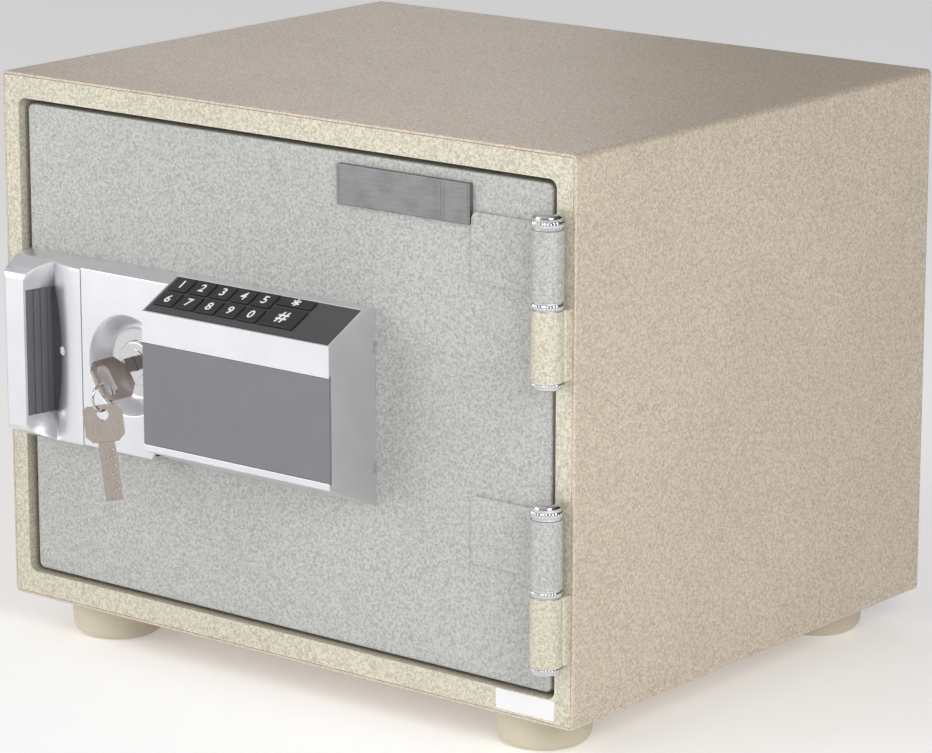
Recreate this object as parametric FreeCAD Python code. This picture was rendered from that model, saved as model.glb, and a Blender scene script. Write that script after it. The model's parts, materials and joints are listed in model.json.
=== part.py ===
import FreeCAD, Part
import math
import os

# Small fire-resistant document safe with a keypad and key lock.
# Millimetres.  X runs right seen from the front, Y runs back from the front frame's face, +Z up,
# z = 0 on the floor.  export() moves everything back by the middle of the depth.

# ---- body -----------------------------------------------------------------------------------
BODY_W = 412.0
BODY_H = 310.0
BODY_D = 336.0
FOOT_H = 23.0
FOOT_R = 28.0
FOOT_TAPER = 2.0
FOOT_ROUND = 7.0
FOOT_X = 158.0
FOOT_INSET = 37.0
SHEET = 1.6
EDGE_R = 3.0
WALL_SIDE = 41.0
WALL_UP = 45.0
WALL_BACK = 46.0
GAP = 0.3
SEAM = 0.06
FRAME_SIDE = 12.4
FRAME_TOP = 14.4
FRAME_BOTTOM = 15.0
REBATE_D = 30.0
SHOULDER_T = 3.0
LINER_T = 1.0

# ---- door -----------------------------------------------------------------------------------
DOOR_SIDE_GAP = 4.6
DOOR_TOP_GAP = 3.2
DOOR_BOTTOM_GAP = 2.2
DOOR_RECESS = 3.0
DOOR_T = 23.0
DOOR_SKIN = 2.0
DOOR_EDGE_T = 1.6
PLUG_D = 32.0
PLUG_SIDE_GAP = 7.5
PLUG_UP_GAP = 4.0
PANEL_T = 1.5
SEAL_T = 2.6

# ---- hinges ---------------------------------------------------------------------------------
HINGE_OUT = 1.4
KNUCKLE_R = 8.7
HINGE_Y = -KNUCKLE_R - 0.5
KNUCKLE_H = 37.6
WASHER_H = 4.8
TOP_CAP_H = 8.4
BOTTOM_CAP_H = 4.2
PIN_R = 4.0
CAP_R = KNUCKLE_R - 0.5
RUNNING = 0.05
HINGE_INSET = 78.0
LEAF_W = 56.0
LEAF_T = 2.0

# ---- bolt work ------------------------------------------------------------------------------
THROW = 9.0
BOLT_R = 6.0
BOLT_SPREAD = 85.0
BOLT_Y = 14.5
BOLT_LEN = 28.6
DOG_SPREAD = 50.0
DOG_H = 22.0
DOG_REACH = 8.5
PLATE_T = 3.0
BAR_W = 12.0
ARM_H = 17.0
CRANK_PIN_R = 2.5
CAM_R = 11.0
SLOT_PLAY = 0.4
PLUNGER_R = 2.0
PLUNGER_STROKE = 3.0
PLUNGER_FROM_LOCK = 29.0

# ---- lock unit ------------------------------------------------------------------------------
LOCK_LOW = 0.5
DISH_R = 29.0
DISH_FLOOR_R = 21.0
CYLINDER_R = 12.7
PLUG_R = 8.0
HANDLE_EDGE = 0.9
HANDLE_W = 52.1
HANDLE_D = 25.0
PLATE_W = 69.4
KEYHOLE_IN = 34.7
BAR_WIDTH = 16.4
GRIP_HALF = 36.7
GRIP_LOW = 1.8
GRIP_BULGE = 4.6
RIB_PITCH = 4.8
RIB_COUNT = 4
HOUSING_W = 135.5
HOUSING_D = 39.0
SLOPE_RUN = 29.0
SLOPE_RISE = 14.8
SLOPE_FOOT = 41.2
MOULD_T = 2.5
KEY_W = 13.6
KEY_H = 11.4
KEY_PITCH = 15.2
KEY_RISE = 1.0
KEY_TRAVEL = 0.8
KEY_IN = 10.6
KEY_ROWS = (25.4, 12.4)
COVER_Z = (-34.3, 23.2)
COVER_T = 1.9
CELL_R = 7.1
CELL_L = 50.0

# ---- keys on the ring -----------------------------------------------------------------------
KEY_TILT = 55.0
BOW_END = -39.2
BOW_HALF = 12.4
BOW_SHIFT = 5.3
RING_R = 7.8
RING_WIRE = 0.8
RING_OFFSET = 9.5
SPARE_TURN = 38.8
SPARE_LEAN = 6.5

Z0 = FOOT_H
Z1 = FOOT_H + BODY_H
LZ = Z0 + BODY_H / 2 - LOCK_LOW
OPEN_X = BODY_W / 2 - FRAME_SIDE
OPEN_Z0 = Z0 + FRAME_BOTTOM
OPEN_Z1 = Z1 - FRAME_TOP
IN_X = BODY_W / 2 - WALL_SIDE
IN_Z0 = Z0 + WALL_UP
IN_Z1 = Z1 - WALL_UP
FRAME_D = REBATE_D + SHOULDER_T
DOOR_X = OPEN_X - DOOR_SIDE_GAP
DOOR_Z0 = OPEN_Z0 + DOOR_BOTTOM_GAP
DOOR_Z1 = OPEN_Z1 - DOOR_TOP_GAP
DOOR_Y = DOOR_RECESS
DOOR_BACK = DOOR_Y + DOOR_T
PLUG_X = IN_X - PLUG_SIDE_GAP
PLUG_Z0 = IN_Z0 + PLUG_UP_GAP
PLUG_Z1 = IN_Z1 - PLUG_UP_GAP
CAVITY_Y = DOOR_Y + DOOR_SKIN
HINGE_X = OPEN_X + HINGE_OUT
HINGE_SPREAD = BODY_H / 2 - HINGE_INSET
HINGE_Z = (LZ - HINGE_SPREAD, LZ + HINGE_SPREAD)
BOLT_Z = (LZ - BOLT_SPREAD, LZ + BOLT_SPREAD)
DOG_Z = (LZ - DOG_SPREAD, LZ + DOG_SPREAD)
HANDLE_X0 = -DOOR_X + HANDLE_EDGE
HANDLE_X1 = HANDLE_X0 + HANDLE_W
BAR_FACE = DOOR_Y - HANDLE_D
PLATE_X = (HANDLE_X1 + SEAM, HANDLE_X1 + SEAM + PLATE_W)
LOCK_X = PLATE_X[0] + KEYHOLE_IN
HOUSING_X0 = PLATE_X[1] + SEAM
HOUSING_X1 = HOUSING_X0 + HOUSING_W
FRONT_Y = DOOR_Y - HOUSING_D
CELL_BACK = FRONT_Y + 20.6
CRANK = THROW / math.sqrt(2.0)
BAR_CENTRE_Y = BOW_END + 1.4
REACH = -(BAR_CENTRE_Y - RING_R - RING_WIRE)
Y_MIDDLE = (BODY_D - REACH) / 2

V = FreeCAD.Vector
X_AXIS = V(1, 0, 0)
Y_AXIS = V(0, 1, 0)
Z_AXIS = V(0, 0, 1)


def box(x, y, z):
    """A block between three pairs of limits."""
    return Part.makeBox(x[1] - x[0], y[1] - y[0], z[1] - z[0], V(x[0], y[0], z[0]))


def rod(r, start, axis, length):
    """A round bar of radius r from a start point along an axis."""
    return Part.makeCylinder(r, length, V(*start), axis)


def cone(r1, r2, start, axis, length):
    """A round taper from r1 at the start to r2 at the far end."""
    return Part.makeCone(r1, r2, length, V(*start), axis)


def face_of(points):
    """A flat face through a closed run of points."""
    corners = [V(*p) for p in points]
    return Part.Face(Part.makePolygon(corners + corners[:1]))


def along_x(yz, x0, x1):
    """A prism with a (y, z) outline, drawn out from x0 to x1."""
    return face_of([(x0, y, z) for y, z in yz]).extrude(V(x1 - x0, 0, 0))


def along_z(xy, z0, z1):
    """A prism with an (x, y) outline, drawn out from z0 to z1."""
    return face_of([(x, y, z0) for x, y in xy]).extrude(V(0, 0, z1 - z0))


def along_y(xz, y0, y1):
    face = face_of([(x, y0, z) for x, z in xz])
    return face.extrude(V(0, y1 - y0, 0))


def joined(shapes):
    """One solid from several that overlap."""
    whole = shapes[0].fuse(shapes[1:]) if len(shapes) > 1 else shapes[0]
    return whole.removeSplitter()


def cut_all(shape, tools):
    """A shape with every tool taken away."""
    for tool in tools:
        shape = shape.cut(tool)
    return shape


def turned(shape, centre, axis, angle):
    """A copy turned about an axis through a centre."""
    copy = shape.copy()
    copy.rotate(V(*centre), axis, angle)
    return copy


def edges_along(shape, axis, keep):
    """The straight edges parallel to an axis whose middle passes a test."""
    found = []
    for edge in shape.Edges:
        if len(edge.Vertexes) == 2 and edge.Curve.TypeId == "Part::GeomLine":
            run = edge.Vertexes[1].Point.sub(edge.Vertexes[0].Point).normalize()
            if abs(abs(run.dot(axis)) - 1) < 1e-6 and keep(edge.CenterOfMass):
                found.append(edge)
    return found


def rounded(shape, axis, r, keep=lambda p: True):
    """The shape with its edges along one axis rounded."""
    return shape.makeFillet(r, edges_along(shape, axis, keep))


def walls(outer, inner, y0, y1):
    """A rectangular tube along Y; outer and inner are (half width, low z, high z)."""
    big = box((-outer[0], outer[0]), (y0, y1), outer[1:])
    return big.cut(box((-inner[0], inner[0]), (y0 - 1, y1 + 1), inner[1:]))


def export(name, *shapes):
    """Write one node, moved so that Y = 0 is the middle of the whole depth."""
    shape = shapes[0] if len(shapes) == 1 else Part.makeCompound(list(shapes))
    shape = shape.copy()
    shape.translate(V(0, -Y_MIDDLE, 0))
    shape.exportStep("parts/" + name + ".step")


# ---- cabinet --------------------------------------------------------------------------------
def outer_casing():
    """The folded sheet wrapper: four sides and a back, open at the front."""
    h = BODY_W / 2
    shell = box((-h, h), (0, BODY_D), (Z0, Z1))
    shell = rounded(shell, Y_AXIS, EDGE_R)
    rim = [e for e in shell.Edges if e.BoundBox.YMin > BODY_D - 0.01]
    shell = shell.makeFillet(EDGE_R - 0.5, rim)
    hollow = box((-h + SHEET, h - SHEET), (-1, BODY_D - SHEET), (Z0 + SHEET, Z1 - SHEET))
    hollow = rounded(hollow, Y_AXIS, EDGE_R - SHEET)
    shell = shell.cut(hollow)
    outer = [e for e in shell.Edges if e.BoundBox.YMax < 0.01 and on_outside(e)]
    shell = shell.makeFillet(SHEET * 0.6, outer)
    return cut_all(shell, [rod(2.6, (x, y, Z0 - 1), Z_AXIS, SHEET + 2) for x, y in foot_places()])


def on_outside(edge):
    """Whether a front edge lies on the casing's outer outline."""
    c = edge.CenterOfMass
    h = BODY_W / 2
    near = 0.5 * SHEET
    return abs(c.x) > h - near - 0.3 or c.z < Z0 + near + 0.3 or c.z > Z1 - near - 0.3


def foot_places():
    """The four foot centres."""
    rows = (FOOT_INSET, BODY_D - FOOT_INSET)
    return [(x, y) for y in rows for x in (-FOOT_X, FOOT_X)]


def foot(x, y):
    """A tapered round foot with a rounded lower edge and a recess for its screw."""
    body = cone(FOOT_R - FOOT_TAPER, FOOT_R, (x, y, 0), Z_AXIS, FOOT_H)
    low = [e for e in body.Edges if e.BoundBox.ZMax < 0.01]
    body = body.makeFillet(FOOT_ROUND, low)
    body = body.cut(rod(5.0, (x, y, -1), Z_AXIS, 15.0))
    return body.cut(rod(2.6, (x, y, 0), Z_AXIS, FOOT_H + 1))


def foot_screw(x, y):
    """The pan-head screw that holds a foot."""
    head = rod(4.4, (x, y, 11.2), Z_AXIS, 2.8)
    return joined([head, rod(2.3, (x, y, 13.5), Z_AXIS, FOOT_H + SHEET - 13.5)])


def front_frame():
    """The door frame: a deep rebate, then a narrower shoulder that meets the inner liner."""
    inset = SHEET + GAP
    outer = (BODY_W / 2 - inset, Z0 + inset, Z1 - inset)
    opening = (OPEN_X, OPEN_Z0, OPEN_Z1)
    ring = walls(outer, opening, 0, REBATE_D)
    ring = rounded(ring, Y_AXIS, 5.0, lambda p: abs(p.x) < OPEN_X + 0.1)
    ring = rounded(ring, Y_AXIS, 1.2, lambda p: abs(p.x) > OPEN_X + 2)
    shoulder = walls(outer, (IN_X + LINER_T, IN_Z0 - LINER_T, IN_Z1 + LINER_T), REBATE_D, FRAME_D)
    shoulder = rounded(shoulder, Y_AXIS, 1.2, lambda p: abs(p.x) > OPEN_X)
    frame = ring.fuse(shoulder)
    pockets = []
    for z in BOLT_Z:
        start = (-OPEN_X + 1, BOLT_Y, z)
        pockets.append(rod(BOLT_R + 1.0, start, V(-1, 0, 0), THROW - DOOR_SIDE_GAP + 2.6))
    for z in DOG_Z:
        z_range = (z - DOG_H / 2 - 1.5, z + DOG_H / 2 + 1.5)
        x_range = (OPEN_X - 1, DOOR_X + DOG_REACH + 1.5)
        pockets.append(box(x_range, (BOLT_Y - 6.0, BOLT_Y + 6.0), z_range))
    return cut_all(frame, pockets)


def body_insulation():
    """The poured fire-resistant fill round the cabinet's inside, open at the front."""
    skin = SHEET + GAP
    outer = (BODY_W / 2 - skin, Z0 + skin, Z1 - skin)
    y0 = FRAME_D + GAP
    block = box((-outer[0], outer[0]), (y0, BODY_D - skin), outer[1:])
    block = rounded(block, Y_AXIS, 1.2)
    room = LINER_T + GAP
    inner = box((-IN_X - room, IN_X + room), (y0 - 1, BODY_D - WALL_BACK + room),
                (IN_Z0 - room, IN_Z1 + room))
    inserts = [rod(3.0, (x, y, Z0), Z_AXIS, 12.0) for x, y in foot_places()]
    return cut_all(block, [inner] + inserts)


def inner_liner():
    """The thin sheet box that lines the cabinet, with a ledge each side for the tray."""
    y0 = REBATE_D
    y1 = BODY_D - WALL_BACK
    outer = box((-IN_X - LINER_T, IN_X + LINER_T), (y0, y1 + LINER_T), (IN_Z0 - LINER_T, IN_Z1 + LINER_T))
    liner = outer.cut(box((-IN_X, IN_X), (y0 - 1, y1), (IN_Z0, IN_Z1)))
    ledges = []
    for side in (-1, 1):
        edges = sorted((side * IN_X, side * (IN_X - 9.0)))
        ledges.append(box(edges, (y0 + 45.0, y1), (TRAY_Z - 2.0, TRAY_Z)))
    return joined([liner] + ledges)


TRAY_Z = IN_Z1 - 62.0
TRAY_Y = (BODY_D - WALL_BACK - 170.0, BODY_D - WALL_BACK - 1.0)


def pull_out_tray():
    """A shallow open tray that slides forward on the two ledges."""
    half = IN_X - 1.0
    z = (TRAY_Z + 0.3, TRAY_Z + 34.0)
    tray = box((-half, half), TRAY_Y, z)
    tray = rounded(tray, Z_AXIS, 4.0)
    hollow = box((-half + 2, half - 2), (TRAY_Y[0] + 2, TRAY_Y[1] - 2), (z[0] + 2, z[1] + 1))
    hollow = rounded(hollow, Z_AXIS, 2.0)
    notch = rod(16.0, (0, TRAY_Y[0] - 1, z[1] + 3), Y_AXIS, 5.0)
    return cut_all(tray, [hollow, notch])


def door_seal():
    """The heat-swelling strip on the frame's shoulder, facing the door."""
    outer = (OPEN_X - 4.0, OPEN_Z0 + 4.0, OPEN_Z1 - 4.0)
    inner = (OPEN_X - 16.0, OPEN_Z0 + 16.0, OPEN_Z1 - 16.0)
    return walls(outer, inner, REBATE_D - SEAL_T, REBATE_D)


def serial_label():
    """The blank sticker on the frame's lower right."""
    return box((OPEN_X - 39.2, OPEN_X), (-0.3, 0), (Z0 + 3.4, Z0 + FRAME_BOTTOM - 0.6))


# ---- hinges ---------------------------------------------------------------------------------
def hinge_levels(z):
    """Heights of a hinge's pieces, from the middle of its washer."""
    half = WASHER_H / 2
    return {"frame": z - half - KNUCKLE_H, "washer": z - half, "door": z + half}


def frame_knuckle(z):
    """The fixed half of a hinge: a barrel on a bracket that stands on the frame's face."""
    low = hinge_levels(z)["frame"]
    barrel = rod(KNUCKLE_R, (HINGE_X, HINGE_Y, low), Z_AXIS, KNUCKLE_H)
    outline = [(HINGE_X - 6, 0), (HINGE_X - 6, HINGE_Y), (HINGE_X, HINGE_Y - 6),
               (HINGE_X + 6, HINGE_Y), (HINGE_X + 8.6, -4), (HINGE_X + 8.6, 0)]
    bracket = along_z(outline, low, low + KNUCKLE_H)
    whole = joined([barrel, bracket])
    return whole.cut(rod(PIN_R, (HINGE_X, HINGE_Y, low - 1), Z_AXIS, KNUCKLE_H + 2))


def door_leaf(z):
    """The moving half of a hinge: a barrel, a short web and a flat leaf on the door's face."""
    low = hinge_levels(z)["door"] + GAP
    top = low + KNUCKLE_H - GAP
    barrel = rod(KNUCKLE_R, (HINGE_X, HINGE_Y, low), Z_AXIS, top - low)
    web = box((HINGE_X - KNUCKLE_R, HINGE_X - 6.6), (HINGE_Y, DOOR_Y - 0.05), (low, top))
    leaf = box((HINGE_X - 6.6 - LEAF_W + 4, HINGE_X - 6.6), (DOOR_Y - LEAF_T, DOOR_Y), (low, top))
    leaf = rounded(leaf, Y_AXIS, 4.0, lambda p: p.x < HINGE_X - LEAF_W + 4)
    whole = joined([barrel, web, leaf])
    return whole.cut(rod(PIN_R + RUNNING, (HINGE_X, HINGE_Y, low - 1), Z_AXIS, KNUCKLE_H + 2))


def hinge_pin(z):
    """The pin, fast in the frame barrel, with a domed cap over the door barrel."""
    at = hinge_levels(z)
    top = at["door"] + KNUCKLE_H + GAP
    shaft = rod(PIN_R, (HINGE_X, HINGE_Y, at["frame"] + 1), Z_AXIS, top - at["frame"])
    cap = rod(CAP_R, (HINGE_X, HINGE_Y, top), Z_AXIS, TOP_CAP_H)
    rim = [e for e in cap.Edges if e.BoundBox.ZMin > top + TOP_CAP_H - 0.01]
    return joined([shaft, cap.makeFillet(2.5, rim)])


def hinge_foot_cap(z):
    """The cap under the frame barrel."""
    low = hinge_levels(z)["frame"] - BOTTOM_CAP_H
    cap = rod(CAP_R, (HINGE_X, HINGE_Y, low), Z_AXIS, BOTTOM_CAP_H)
    return cap.makeFillet(1.5, [e for e in cap.Edges if e.BoundBox.ZMax < low + 0.01])


def hinge_washer(z):
    """The bright spacer between the two barrels."""
    low = hinge_levels(z)["washer"]
    ring = rod(CAP_R - 0.3, (HINGE_X, HINGE_Y, low), Z_AXIS, WASHER_H)
    return ring.cut(rod(PIN_R, (HINGE_X, HINGE_Y, low - 1), Z_AXIS, WASHER_H + 2))


# ---- door -----------------------------------------------------------------------------------
def door_skin():
    """The painted door pan: a face with four turned-back edges."""
    pan = box((-DOOR_X, DOOR_X), (DOOR_Y, DOOR_BACK), (DOOR_Z0, DOOR_Z1))
    pan = rounded(pan, Y_AXIS, 4.0)
    front = [e for e in pan.Edges if e.BoundBox.YMax < DOOR_Y + 0.01]
    pan = pan.makeFillet(1.2, front)
    t = DOOR_EDGE_T
    hollow = box((-DOOR_X + t, DOOR_X - t), (CAVITY_Y, DOOR_BACK + 1), (DOOR_Z0 + t, DOOR_Z1 - t))
    tools = [rounded(hollow, Y_AXIS, 4.0 - t)]
    tools.append(rod(CYLINDER_R, (LOCK_X, 0, LZ), Y_AXIS, DOOR_BACK))
    for z in BOLT_Z:
        tools.append(rod(BOLT_R + GAP, (-DOOR_X - 1, BOLT_Y, z), X_AXIS, 6.0))
    tools.append(box((HOUSING_X0 + 20, HOUSING_X0 + 34), (0, CAVITY_Y + 1), (LZ - 40, LZ - 30)))
    return cut_all(pan, tools)


CAVITY_X = (-DOOR_X + DOOR_EDGE_T, LOCK_X + 22.0)
CAVITY_Z = (BOLT_Z[0] - 18.0, BOLT_Z[1] + 18.0)
CAVITY_BACK = DOOR_BACK - PANEL_T - 1.0


def door_core():
    """The board that fills the door pan, cut away for the bolt work."""
    g = DOOR_EDGE_T + GAP
    core = box((-DOOR_X + g, DOOR_X - g), (CAVITY_Y + GAP, CAVITY_BACK), (DOOR_Z0 + g, DOOR_Z1 - g))
    core = rounded(core, Y_AXIS, 2.0)
    return core.cut(box((-DOOR_X, CAVITY_X[1]), (CAVITY_Y, CAVITY_BACK + 1), CAVITY_Z))


def door_inner_panel():
    """The inner door sheet: a flange inside the pan, then a hat that fills the cabinet's mouth."""
    t = DOOR_EDGE_T + GAP
    y0 = DOOR_BACK - PANEL_T
    flange = box((-DOOR_X + t, DOOR_X - t), (y0, DOOR_BACK), (DOOR_Z0 + t, DOOR_Z1 - t))
    flange = rounded(flange, Y_AXIS, 3.0)
    hat = box((-PLUG_X, PLUG_X), (y0, DOOR_BACK + PLUG_D), (PLUG_Z0, PLUG_Z1))
    hat = rounded(hat, Y_AXIS, 6.0)
    rim = [e for e in hat.Edges if e.BoundBox.YMin > DOOR_BACK + PLUG_D - 0.01]
    hat = hat.makeFillet(2.0, rim)
    hollow = box((-PLUG_X + PANEL_T, PLUG_X - PANEL_T), (y0 - 1, DOOR_BACK + PLUG_D - PANEL_T),
                 (PLUG_Z0 + PANEL_T, PLUG_Z1 - PANEL_T))
    return flange.fuse(hat).cut(hollow).removeSplitter()


def plug_insulation():
    """The fire-resistant fill inside the door's hat."""
    g = PANEL_T + GAP
    return rounded(box((-PLUG_X + g, PLUG_X - g), (DOOR_BACK, DOOR_BACK + PLUG_D - g),
                       (PLUG_Z0 + g, PLUG_Z1 - g)), Y_AXIS, 4.0)


def door_dog(z):
    """A fixed bolt on the hinge edge that sits in the frame's pocket when the door is shut."""
    z_range = (z - DOG_H / 2, z + DOG_H / 2)
    dog = box((DOOR_X, DOOR_X + DOG_REACH), (BOLT_Y - 4.0, BOLT_Y + 4.0), z_range)
    return rounded(dog, Z_AXIS, 1.5, lambda p: p.x > DOOR_X + 1)


def bolt_guide(z):
    """The bored block that carries a locking bolt behind the door's edge."""
    x = (-DOOR_X + DOOR_EDGE_T + 0.2, -DOOR_X + 15.0)
    block = box(x, (CAVITY_Y, CAVITY_BACK - GAP), (z - 10, z + 10))
    return block.cut(rod(BOLT_R + 0.1, (x[0] - 1, BOLT_Y, z), X_AXIS, 20.0))


def locking_bolt(z):
    """A round bolt, drawn back inside the door's edge."""
    tip = -DOOR_X + 0.4
    bolt = rod(BOLT_R, (tip, BOLT_Y, z), X_AXIS, BOLT_LEN)
    return bolt.makeFillet(1.2, [e for e in bolt.Edges if e.BoundBox.XMax < tip + 0.01])


ARM_Y = (BOLT_Y - PLATE_T / 2, BOLT_Y + PLATE_T / 2)
ARM_Z = (LZ - ARM_H / 2, LZ + ARM_H / 2)
BAR_X = (-DOOR_X + 0.4 + BOLT_LEN, -DOOR_X + 0.4 + BOLT_LEN + BAR_W)
PLUNGER_X = LOCK_X - PLUNGER_FROM_LOCK


def bolt_carriage():
    """The plate that moves both bolts: an upright bar with an arm reaching to the lock's crank."""
    bar = box(BAR_X, ARM_Y, (BOLT_Z[0] - 8, BOLT_Z[1] + 8))
    arm = box((BAR_X[0], LOCK_X + 14.0), ARM_Y, ARM_Z)
    plate = joined([bar, arm])
    r = CRANK_PIN_R + SLOT_PLAY
    x = LOCK_X + THROW / 2
    low = LZ - CRANK - CRANK_PIN_R - 0.8
    slot = box((x - r, x + r), (0, 30), (low, LZ - THROW / 2 + CRANK_PIN_R + 0.8))
    notches = []
    for k in (0, 1):
        c = PLUNGER_X + k * THROW
        notches.append(box((c - PLUNGER_R - 0.5, c + PLUNGER_R + 0.5), (0, 30),
                           (ARM_Z[1] - PLUNGER_STROKE, ARM_Z[1] + 1)))
    return cut_all(plate, [slot] + notches)


def solenoid_body():
    """The blocking solenoid above the carriage arm."""
    z0 = ARM_Z[1] + 10.0
    block = box((PLUNGER_X - 9, PLUNGER_X + 9), (CAVITY_Y, CAVITY_BACK - GAP), (z0, z0 + 30))
    return block.cut(rod(PLUNGER_R + 0.1, (PLUNGER_X, BOLT_Y, z0 - 1), Z_AXIS, 24.0))


def solenoid_plunger():
    """The pin that drops into the carriage's notch."""
    z0 = ARM_Z[1] + 0.6
    pin = rod(PLUNGER_R, (PLUNGER_X, BOLT_Y, z0), Z_AXIS, 28.0)
    collar = rod(4.0, (PLUNGER_X, BOLT_Y, z0 + 4.6), Z_AXIS, 1.4)
    return joined([pin, collar])


# ---- lock unit ------------------------------------------------------------------------------
def escutcheon():
    """The raised plate round the key, with a round dish that leads in to the cylinder."""
    x = PLATE_X
    outline = [(DOOR_Y, 55), (-8, 53.5), (-12, 51.5), (-12, -51.5), (-8, -53.5), (DOOR_Y, -55)]
    body = along_x([(y, LZ + z) for y, z in outline], *x)
    inside = [(DOOR_Y + 1, 52.4), (-9.6, 50), (-9.6, -50), (DOOR_Y + 1, -52.4)]
    hollow = along_x([(y, LZ + z) for y, z in inside], x[0] + MOULD_T, x[1] - MOULD_T)
    floor_y = -0.6
    cup = cone(DISH_R + MOULD_T, DISH_FLOOR_R + MOULD_T, (LOCK_X, -12, LZ), Y_AXIS, 11.4 + MOULD_T)
    cup = cup.common(box(x, (-12, DOOR_Y), (LZ - 50, LZ + 50)))
    body = body.cut(hollow).fuse(cup)
    dish = cone(DISH_R + 0.8, DISH_FLOOR_R, (LOCK_X, -12 - 1.14, LZ), Y_AXIS, 12.54)
    hole = rod(CYLINDER_R + GAP, (LOCK_X, -5, LZ), Y_AXIS, 20)
    corner = along_y([(x[1] - 20, LZ - 57), (x[1] - 14, LZ - 47), (x[1] + 1, LZ - 47), (x[1] + 1, LZ - 57)],
                     -14, DOOR_Y + 1)
    return cut_all(body, [dish, hole, corner])


def lock_bezel():
    """The bright ring on the dish's floor round the cylinder."""
    ring = cone(DISH_FLOOR_R - 0.3, DISH_FLOOR_R - 1.6, (LOCK_X, -0.6, LZ), V(0, -1, 0), 2.0)
    return ring.cut(rod(CYLINDER_R + GAP, (LOCK_X, -5, LZ), Y_AXIS, 20))


def cylinder_body():
    """The fixed lock cylinder through the door's face."""
    body = rod(CYLINDER_R, (LOCK_X, -5.0, LZ), Y_AXIS, 13.0)
    body = body.makeFillet(1.0, [e for e in body.Edges if e.BoundBox.YMax < -4.99])
    return body.cut(rod(PLUG_R + RUNNING, (LOCK_X, -6, LZ), Y_AXIS, 16))


def cylinder_plug():
    """The turning part of the lock, slotted for the key."""
    plug = rod(PLUG_R, (LOCK_X, -5.6, LZ), Y_AXIS, 14.0)
    slot = box((LOCK_X - 4.4, LOCK_X + 4.4), (-6, 3), (LZ - 1.2, LZ + 1.2))
    return plug.cut(turned(slot, (LOCK_X, 0, LZ), Y_AXIS, KEY_TILT))


def lock_cam():
    """The disc behind the cylinder with the crank pin that moves the carriage."""
    disc = rod(CAM_R, (LOCK_X, 8.4, LZ), Y_AXIS, 2.6)
    pin = rod(CRANK_PIN_R, (LOCK_X + THROW / 2, 10, LZ - THROW / 2), Y_AXIS, 8.0)
    return joined([disc, pin])


def handle_outline():
    """Side profile of the lock unit's end moulding, as (y, z) pairs from the top round to the bottom."""
    return [(DOOR_Y, 54), (-1, 54.2), (-9.5, 52.6), (-17, 47.6), (-20.6, 44.2), (BAR_FACE, 41.5),
            (BAR_FACE, -45), (-20.6, -47.6), (-17, -49.6), (-9.5, -53.2), (-1, -54.2), (DOOR_Y, -54)]


def grip_wall_x(y):
    """How far the pull bar's inner wall has moved in by a given depth."""
    return HANDLE_X0 + BAR_WIDTH + 1.0 + 0.16 * (y + 20.2)


def pocket_wire(z, foot, ramp):
    """Outline of the finger pocket at one height: the wall, its foot and the curved ramp."""
    bar_x = HANDLE_X0 + BAR_WIDTH
    lead = [(bar_x, -30), (bar_x, BAR_FACE), foot, ramp[0]]
    close = [ramp[-1], (HANDLE_X1 + 3, -30), (bar_x, -30)]
    curve = Part.BSplineCurve()
    curve.interpolate([V(x, y, z) for x, y in ramp])
    edges = [Part.makeLine(V(*p, z), V(*q, z)) for p, q in zip(lead, lead[1:])]
    edges.append(curve.toShape())
    edges += [Part.makeLine(V(*p, z), V(*q, z)) for p, q in zip(close, close[1:])]
    return Part.Wire(edges)


def pocket_section(z, bulge):
    """The pocket's outline between the grip's ends, with its ramp pushed inwards by the bulge."""
    foot = grip_wall_x(POCKET_Y) + 0.6
    ramp = [(foot + bulge, POCKET_Y), (foot + 4 + 0.9 * bulge, -4.8), (foot + 12 + 0.5 * bulge, -9.6),
            (foot + 21 + 0.2 * bulge, -11.8), (HANDLE_X1 + 3, -12.4)]
    return pocket_wire(z, (foot - 0.6, POCKET_Y), ramp)


def pocket_end(z):
    """The pocket's outline where its end wall meets the outside of the moulding."""
    x = HANDLE_X0 + BAR_WIDTH + 14.5
    ramp = [(x + 0.6, -12.05), (x + 5, -12.15), (x + 10, -12.25), (x + 16, -12.35), (HANDLE_X1 + 3, -12.4)]
    return pocket_wire(z, (x, -12.0), ramp)


def handle():
    """The fixed pull: a bar beside a finger pocket that sweeps up to the lock plate."""
    profile = along_x([(y, LZ + z) for y, z in handle_outline()], HANDLE_X0, HANDLE_X1)
    bar_x = HANDLE_X0 + BAR_WIDTH
    plan = [(HANDLE_X0, DOOR_Y), (HANDLE_X0, BAR_FACE + 3), (HANDLE_X0 + 0.8, BAR_FACE + 0.9),
            (HANDLE_X0 + 2.6, BAR_FACE), (HANDLE_X1, BAR_FACE), (HANDLE_X1, DOOR_Y)]
    body = profile.common(along_z(plan, LZ - 60, LZ + 60))
    middle = LZ - GRIP_LOW
    quarter = GRIP_HALF / 2
    sections = [pocket_section(middle + k * quarter, GRIP_BULGE * (1 - k * k / 4)) for k in range(-2, 3)]
    scoops = [Part.makeLoft(sections, True, False)]
    scoops.append(Part.makeLoft([sections[-1], pocket_end(LZ + 54.5)], True, True))
    scoops.append(Part.makeLoft([pocket_end(LZ - 56.0), sections[0]], True, True))
    liner_seat = along_z(liner_outline(0.0, SEAM), middle - GRIP_HALF, middle + GRIP_HALF)
    hollow = box((HANDLE_X0 + 2.5, bar_x - 3.6), (BAR_FACE + 2.8, DOOR_Y + 1), (LZ - 40, LZ + 37))
    screw_hole = rod(1.6, (SCREW_X, FRONT_Y, LZ), Y_AXIS, HOUSING_D + 1)
    screw_seat = rod(2.8, (SCREW_X, FRONT_Y, LZ), Y_AXIS, SCREW_Y - FRONT_Y)
    return cut_all(body, scoops + [liner_seat, hollow, screw_hole, screw_seat])


POCKET_Y = -0.8
SCREW_X = HANDLE_X0 + 34.0
SCREW_Y = -6.4


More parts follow.
